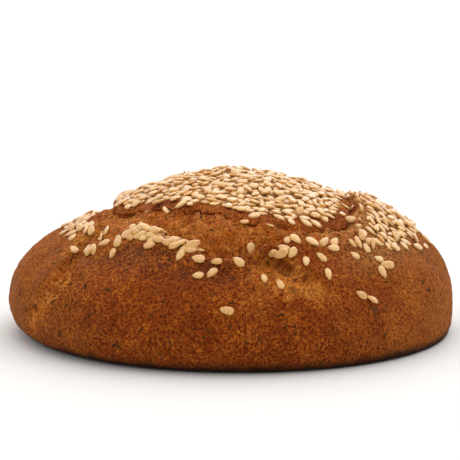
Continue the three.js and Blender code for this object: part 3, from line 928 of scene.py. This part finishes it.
def dried_herb(colours):
    """Dried green herb, baked dark: thin, matt leaf and stalk, from olive brown to nearly black."""
    material, tree = new_material("dried_herb")
    place = add_node(tree, "TexCoord").outputs["Object"]
    tone = add_node(tree, "Attribute", attribute_name="tone").outputs["Fac"]
    veins = add_node(tree, "TexNoise", {"Vector": place, "Scale": per_mm(0.4), "Detail": 3.0}).outputs["Fac"]
    browned = add_node(tree, "MapRange", {"Value": veins, "From Min": 0.45, "From Max": 0.7}).outputs[0]
    colour = overlay(tree, colours.herb, (tone, colours.herb_deep), (browned, colours.herb_stain))
    bump = add_node(tree, "Bump", {"Height": veins, "Distance": 0.06 * MM, "Strength": 0.6}).outputs["Normal"]
    sockets = {"Base Color": colour, "Roughness": 0.8, "Specular IOR Level": 0.05, "Normal": bump}
    finish_material(tree, sockets)
    return material


def hulled_sesame(colours):
    """Hulled sesame: a waxy, slightly see-through seed, cream with a golden stem end, some toasted."""
    material, tree = new_material("hulled_sesame")
    place = add_node(tree, "TexCoord").outputs["Object"]
    tone = add_node(tree, "Attribute", attribute_name="tone").outputs["Fac"]
    stem = add_node(tree, "Attribute", attribute_name="stem").outputs["Fac"]
    skin = add_node(tree, "TexNoise", {"Vector": place, "Scale": per_mm(0.5), "Detail": 3.0}).outputs["Fac"]
    uneven = add_node(tree, "MapRange", {"Value": skin, "From Min": 0.3, "From Max": 0.7}).outputs["Result"]
    colour = overlay(tree, colours.seed_pale, (tone, colours.seed_deep), (stem, colours.seed_stem))
    skinned = {0: 1.0, 6: colour, 7: (*colours.seed_skin, 1.0)}
    skinned = add_node(tree, "Mix", skinned, data_type="RGBA", blend_type="MULTIPLY").outputs[2]
    colour = overlay(tree, colour, (uneven, skinned))
    bump = add_node(tree, "Bump", {"Height": skin, "Distance": 0.08 * MM, "Strength": 0.5}).outputs["Normal"]
    sockets = {
        "Base Color": colour,
        "Roughness": 0.3,
        "IOR": 1.47,
        "Subsurface Weight": 0.75,
        "Subsurface Radius": (1.0, 0.8, 0.5),
        "Subsurface Scale": 0.8 * MM,
        "Specular IOR Level": 0.35,
        "Coat Weight": 0.8,
        "Coat Roughness": 0.28,
        "Normal": bump,
    }
    # Seeds reach into one another in a heap, and only this way of scattering leaves no dark blots there.
    finish_material(tree, sockets).subsurface_method = "BURLEY"
    return material


def painted_board(stage):
    """Matt painted board: even, with the faint mottling of a roller."""
    material, tree = new_material("painted_board")
    place = add_node(tree, "TexCoord").outputs["Object"]
    mottle = add_node(tree, "TexNoise", {"Vector": place, "Scale": per_mm(8), "Detail": 2.0}).outputs["Fac"]
    darker = tuple(0.97 * part for part in stage.floor_colour)
    colour = overlay(tree, stage.floor_colour, (mottle, darker))
    bump = add_node(tree, "Bump", {"Height": mottle, "Distance": 0.05 * MM, "Strength": 0.3}).outputs[0]
    finish_material(tree, {"Base Color": colour, "Roughness": 0.9, "Normal": bump})
    return material


def length_property(name, description, length):
    return FloatProperty(name=name, description=description, default=length, min=0.0, unit="LENGTH")


def share_property(name, description, share):
    return FloatProperty(name=name, description=description, default=share, min=0.0, subtype="FACTOR")


class BunSizes(PropertyGroup):
    """Sizes of the dough's fine relief."""

    raggedness: length_property(
        "Raggedness", "How far the torn lines wander from their smooth course", 0.7 * MM
    )
    grain_depth: share_property("Grain", "Depth of the crust's grain, where 1 is that of the real bun", 1.0)
    crag_depth: share_property(
        "Crags", "Depth of the torn crust's crags, where 1 is that of the real bun", 1.0
    )


class SeedSettings(PropertyGroup):
    """Sizes and number of the sesame seeds."""

    length: length_property("Length", "Length of a sesame seed", 3.3 * MM)
    width: length_property("Width", "Width of a sesame seed", 1.9 * MM)
    thickness: length_property("Thickness", "Thickness of a sesame seed", 0.85 * MM)
    thrown: IntProperty(
        name="Thrown", description="How many seeds are thrown, of which only some stick", default=40000, min=0
    )
    spacing: FloatProperty(
        name="Spacing", description="Least millimetres between the middles of two seeds", default=1.1, min=0.0
    )


class HerbSettings(PropertyGroup):
    """Sizes and number of the flecks of dried herb."""

    length: length_property("Length", "Usual length of a piece of herb", 1.7 * MM)
    count: IntProperty(name="Flecks", description="How many flecks of herb show", default=380, min=1)


def colour_property(name, description, hex_colour):
    return FloatVectorProperty(
        name=name, description=description, default=linear(hex_colour), subtype="COLOR", size=3, min=0, max=1
    )


class BunColours(PropertyGroup):
    """Colours of the crust, the seeds and the herbs."""

    # Partly crust that browned least, partly a painted highlight on the raised strands.
    gold_and_highlight: colour_property("Gold", "The crust where it has browned least", "#CA6E20")
    brown: colour_property("Brown", "The crust over most of the bun", "#923E0E")
    dark: colour_property("Dark", "The crust where it has browned most", "#6E2A0A")
    # Partly browning, partly painted shade below the heaped seeds on the front flap's crest.
    toasted: colour_property("Toasted", "The crust along the front flap's proud edge", "#6E2D0B")
    # Painted sheen: the sides are painted lighter and more golden for the light that they catch.
    tan: colour_property("Tan", "Crust on the bun's two sides", "#C07429")
    torn: colour_property("Torn", "Dough that tore open late in the oven", "#C26417")
    torn_deep: colour_property("Deep torn", "Torn dough where it has browned", "#AE5014")
    crumb: colour_property("Crumb", "Crumb in the splits", "#E38E36")
    # Partly crust kept pale by the seeds, partly painted light in the shaded gaps between seeds and a painted
    # sheen on the right flap.
    sheltered_and_painted_light: colour_property("Sheltered", "Crust that the seeds kept from browning", "#E9B673")
    # Painted shade deep in the tears' pores and clefts.
    hollow_shade: colour_property("Hollow", "Deep in a tear", "#9A4A18")
    grain: colour_property("Grain", "Shade between the grains of flour", "#B09580")
    bran: colour_property("Bran", "Dark flakes of bran", "#4A210D")
    # Laid along the golden strands in torn dough: partly pale bran, partly a painted highlight.
    pale: colour_property("Pale", "Pale flakes of bran", "#DD9040")
    fuzz: colour_property("Fuzz", "Light caught by flour on the crust", "#E8C08A")
    # Partly the scorched edge, partly painted shade where the bun meets the floor.
    scorch_and_shade: colour_property("Foot", "The scorched edge round the underside", "#2C130A")
    herb: colour_property("Herb", "Dried herb leaves", "#46341A")
    herb_deep: colour_property("Deep herb", "The darkest dried herb leaves", "#291B0D")
    herb_stain: colour_property("Herb stain", "Dough stained by the herbs", "#54391A")
    seed_pale: colour_property("Pale seed", "The palest sesame seeds", "#DEB574")
    seed_deep: colour_property("Deep seed", "The most toasted sesame seeds", "#CB984E")
    seed_stem: colour_property("Seed stem", "The stem end of a sesame seed", "#B5712F")
    seed_skin: colour_property("Seed skin", "Shade in the seed's skin", "#E9D7BA")


class StageSettings(PropertyGroup):
    """The floor, the lights and the camera."""

    camera_distance: FloatProperty(
        name="Camera distance", description="From the middle of the bun", default=0.380, unit="LENGTH"
    )
    camera_height: FloatProperty(
        name="Camera angle",
        description="How far above level the camera looks down from",
        default=math.radians(7.9),
        subtype="ANGLE",
    )
    front_light: FloatProperty(
        name="Front light", description="Brightness of the wall behind the camera", default=0.84, min=0.0
    )
    softbox_light: FloatProperty(
        name="Softbox",
        description="Brightness of the large softbox above and behind the bun",
        default=1.75,
        min=0.0,
    )
    floor_colour: colour_property("Floor", "The pale studio floor", "#DAD8D5")


class BUN_OT_make_dough(Operator):
    """Make the bun's dough and crust"""

    bl_idname = "bun.make_dough"
    bl_label = "Make Dough"

    def execute(self, context):
        sizes = context.scene.bun_sizes
        points, faces, masks = make_dough(sizes)
        points = roughen_dough(points, faces, masks, sizes)
        crust = baked_crust(context.scene.bun_colours)
        dough = new_piece("dough", points, faces, crust, browning_masks(points, masks))
        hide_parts(NODE)
        return {"FINISHED"}


def seed_shape(around=11):
    """One seed, about 1 long, wide and thick, its triangles and how near each point is to the stem end.

    Its outline is a drop that narrows towards the stem at +Y, and its faces are low domes.
    """
    points = [(0.0, -0.04, 0.41)]
    for reach, height in ((0.5, 0.42), (0.84, 0.3), (1.0, 0.0), (0.8, -0.34)):
        for j in range(around):
            a = TAU * (j + 0.5) / around
            y = math.sin(a)
            x = math.cos(a) * (1 - 0.28 * y - 0.22 * max(0.0, y) ** 3)
            points.append((0.5 * reach * x, 0.5 * reach * y, height * (1 - 0.25 * max(0.0, y) * reach)))
    points.append((0.0, 0.0, -0.45))
    faces = []
    last = len(points) - 1
    for j in range(around):
        n = (j + 1) % around
        faces.append((0, 1 + j, 1 + n))
        faces.append((last, last - around + n, last - around + j))
        for a in range(1, last - around, around):
            b = a + around
            faces.append((a + j, b + j, b + n))
            faces.append((a + j, b + n, a + n))
    points = np.array(points)
    return points, np.array(faces), ease((points[:, 1] - 0.22) / 0.28)


def herb_strip(length, width, thickness, curl, sides=6, steps=6):
    """One bent strip of herb along X, with its triangles: a flat tube that tapers to both ends."""
    along = np.linspace(0, 1, steps)
    bend = curl * (along - 0.5) ** 2
    taper = np.sqrt(np.sin(math.pi * (0.06 + 0.88 * along)))
    around = TAU * np.arange(sides) / sides
    x = np.repeat((along - 0.5) * length, sides)
    y = np.repeat(bend * length, sides) + 0.5 * width * np.outer(taper, np.cos(around)).ravel()
    z = 0.5 * thickness * np.outer(taper, np.sin(around)).ravel()
    points = np.concatenate([np.stack([x, y, z], 1), [(-0.52 * length, bend[0] * length, 0)]])
    points = np.concatenate([points, [(0.52 * length, bend[-1] * length, 0)]])
    faces = []
    for j in range(sides):
        n = (j + 1) % sides
        faces.append((len(points) - 2, n, j))
        faces.append((len(points) - 1, (steps - 1) * sides + j, (steps - 1) * sides + n))
        for a in range(0, (steps - 1) * sides, sides):
            faces.append((a + j, a + n, a + sides + n))
            faces.append((a + j, a + sides + n, a + sides + j))
    return points, np.array(faces)


class BUN_OT_scatter_herbs(Operator):
    """Scatter the flecks of dried herb that are baked into the crust"""

    bl_idname = "bun.scatter_herbs"
    bl_label = "Scatter Herbs"

    def execute(self, context):
        settings = context.scene.bun_herbs
        dough = bpy.data.objects["dough"].data
        rng = np.random.default_rng(HERB_DRAW)
        faces = np.array([face.vertices[:] for face in dough.polygons])
        places = np.array([vertex.co[:] for vertex in dough.vertices]) / MM
        corners = places[faces]
        across = np.cross(corners[:, 1] - corners[:, 0], corners[:, 2] - corners[:, 0])
        area = np.linalg.norm(across, axis=1)
        normals = across / area[:, None]
        area[(corners[:, 0, 2] < HERB_LOWEST) | (normals[:, 2] < HERB_FACING)] = 0
        points, strips, tones = [], [], []
        start = 0
        for face in rng.choice(len(faces), settings.count, p=area / area.sum()):
            length = settings.length / MM * rng.choice(HERB_LENGTHS[0], p=HERB_LENGTHS[1])
            width = min(HERB_WIDEST * length, rng.uniform(*HERB_WIDTH))
            strip, strip_faces = herb_strip(length, width, HERB_THICKNESS, rng.normal(0, HERB_CURL))
            out = normals[face]
            way = np.cross(out, rng.normal(size=3))
            way /= np.linalg.norm(way)
            side = np.cross(out, way)
            middle = corners[face].mean(0)
            points.append(middle + strip[:, :1] * way + strip[:, 1:2] * side + strip[:, 2:] * out)
            strips.append(strip_faces + start)
            tones.append(np.full(len(strip), rng.uniform()))
            start += len(strip)
        material = dried_herb(context.scene.bun_colours)
        masks = {"tone": np.concatenate(tones)}
        new_piece("herb_flecks", np.concatenate(points), np.concatenate(strips), material, masks)
        return {"FINISHED"}


class BUN_OT_strew_seeds(Operator):
    """Strew the sesame seeds over the crust"""

    bl_idname = "bun.strew_seeds"
    bl_label = "Strew Seeds"

    def execute(self, context):
        settings = context.scene.bun_seeds
        dough = bpy.data.objects["dough"].data
        corners = [vertex.co[:] for vertex in dough.vertices]
        tree = BVHTree.FromPolygons(corners, [face.vertices[:] for face in dough.polygons])
        size_mm = np.array([settings.width, settings.length, settings.thickness]) / MM
        shape, faces, stem = seed_shape()
        rng = np.random.default_rng(SEED_DRAW)
        points, tones, stems = [], [], []
        for at, ways, size, lift in sow_seeds(settings):
            at = np.array(tree.find_nearest(Vector(at * MM))[0]) / MM
            seed = shape * size_mm * size * (1 + 0.1 * rng.uniform(-1, 1, 3))
            seed[:, 2] += 0.25 * rng.uniform(-1, 1) * (shape[:, 1] ** 2 - 0.1)
            points.append(at + lift + seed @ np.array(ways))
            tones.append(np.full(len(shape), rng.beta(1.4, 2.6)))
            stems.append(stem * rng.uniform(0.3, 1.0))
        count = len(points)
        all_faces = (faces[None] + len(shape) * np.arange(count)[:, None, None]).reshape(-1, 3)
        masks = {"tone": np.concatenate(tones), "stem": np.concatenate(stems)}
        material = hulled_sesame(context.scene.bun_colours)
        new_piece("sesame_seeds", np.concatenate(points), all_faces, material, masks)
        return {"FINISHED"}


class BUN_OT_set_stage(Operator):
    """Set the pale floor, the soft studio light and the camera"""

    bl_idname = "bun.set_stage"
    bl_label = "Set Stage"

    def execute(self, context):
        stage = context.scene.bun_stage
        scene = context.scene
        scene.view_settings.view_transform = "Standard"
        scene.view_settings.look = "None"

        mesh = bpy.data.meshes.new("floor")
        signs = ((-1, -1), (1, -1), (1, 1), (-1, 1))
        corners = [(x * FLOOR_HALF, y * FLOOR_HALF, -FLOOR_DROP) for x, y in signs]
        mesh.from_pydata(corners, [], [(0, 1, 2, 3)])
        floor = bpy.data.objects.new("floor", mesh)
        scene.collection.objects.link(floor)
        mesh.materials.append(painted_board(stage))

        # The studio's walls are white, and brighter behind the bun than in front of it.
        world = bpy.data.worlds.new("studio")
        world.use_nodes = True
        tree = world.node_tree
        way = add_node(tree, "SeparateXYZ", {0: add_node(tree, "TexCoord").outputs["Generated"]}).outputs["Y"]
        walls = {"Value": way, "From Min": WALL_TURN[0], "From Max": WALL_TURN[1]}
        walls |= {"To Min": stage.front_light, "To Max": FAR_WALL_LIGHT}
        bright = add_node(tree, "MapRange", walls).outputs["Result"]
        tree.links.new(bright, tree.nodes["Background"].inputs["Strength"])
        tree.nodes["Background"].inputs["Color"].default_value = (1, 1, 1, 1)
        scene.world = world

        light = bpy.data.lights.new("softbox", "SUN")
        light.angle = SOFTBOX_ANGLE
        light.energy = stage.softbox_light
        softbox = bpy.data.objects.new("softbox", light)
        softbox.rotation_euler = Vector(SOFTBOX_AIM).to_track_quat("-Z", "Y").to_euler()
        scene.collection.objects.link(softbox)

        lens = bpy.data.cameras.new("camera")
        lens.sensor_width = SENSOR_MM
        lens.lens = LENS_MM
        camera = bpy.data.objects.new("camera", lens)
        lift = stage.camera_height
        back = stage.camera_distance * Vector((0, -math.cos(lift), math.sin(lift)))
        camera.location = Vector(AIM) + back
        camera.rotation_euler = (math.pi / 2 - lift, 0, 0)
        scene.collection.objects.link(camera)
        scene.camera = camera
        return {"FINISHED"}


STEPS = (BUN_OT_make_dough, BUN_OT_scatter_herbs, BUN_OT_strew_seeds, BUN_OT_set_stage)


class BUN_PT_panel(Panel):
    """The steps that make the bun, with their sizes and colours"""

    bl_label = "Burger Bun"
    bl_idname = "BUN_PT_panel"
    bl_space_type = "VIEW_3D"
    bl_region_type = "UI"
    bl_category = "Burger Bun"

    def draw(self, context):
        for step in STEPS:
            self.layout.operator(step.bl_idname)
        for group in GROUPS:
            box = self.layout.box()
            settings = getattr(context.scene, group)
            for name in settings.bl_rna.properties.keys():
                if name not in ("rna_type", "name"):
                    box.prop(settings, name)


GROUPS = {
    "bun_sizes": BunSizes,
    "bun_seeds": SeedSettings,
    "bun_herbs": HerbSettings,
    "bun_colours": BunColours,
    "bun_stage": StageSettings,
}


def register():
    for group in (*GROUPS.values(), *STEPS, BUN_PT_panel):
        bpy.utils.register_class(group)
    for name, group in GROUPS.items():
        setattr(bpy.types.Scene, name, PointerProperty(type=group))


def unregister():
    for name in GROUPS:
        delattr(bpy.types.Scene, name)
    for group in reversed((*GROUPS.values(), *STEPS, BUN_PT_panel)):
        bpy.utils.unregister_class(group)


def main():
    register()
    bpy.ops.bun.make_dough()
    bpy.ops.bun.scatter_herbs()
    bpy.ops.bun.strew_seeds()
    bpy.ops.bun.set_stage()


if __name__ == "__main__":
    main()
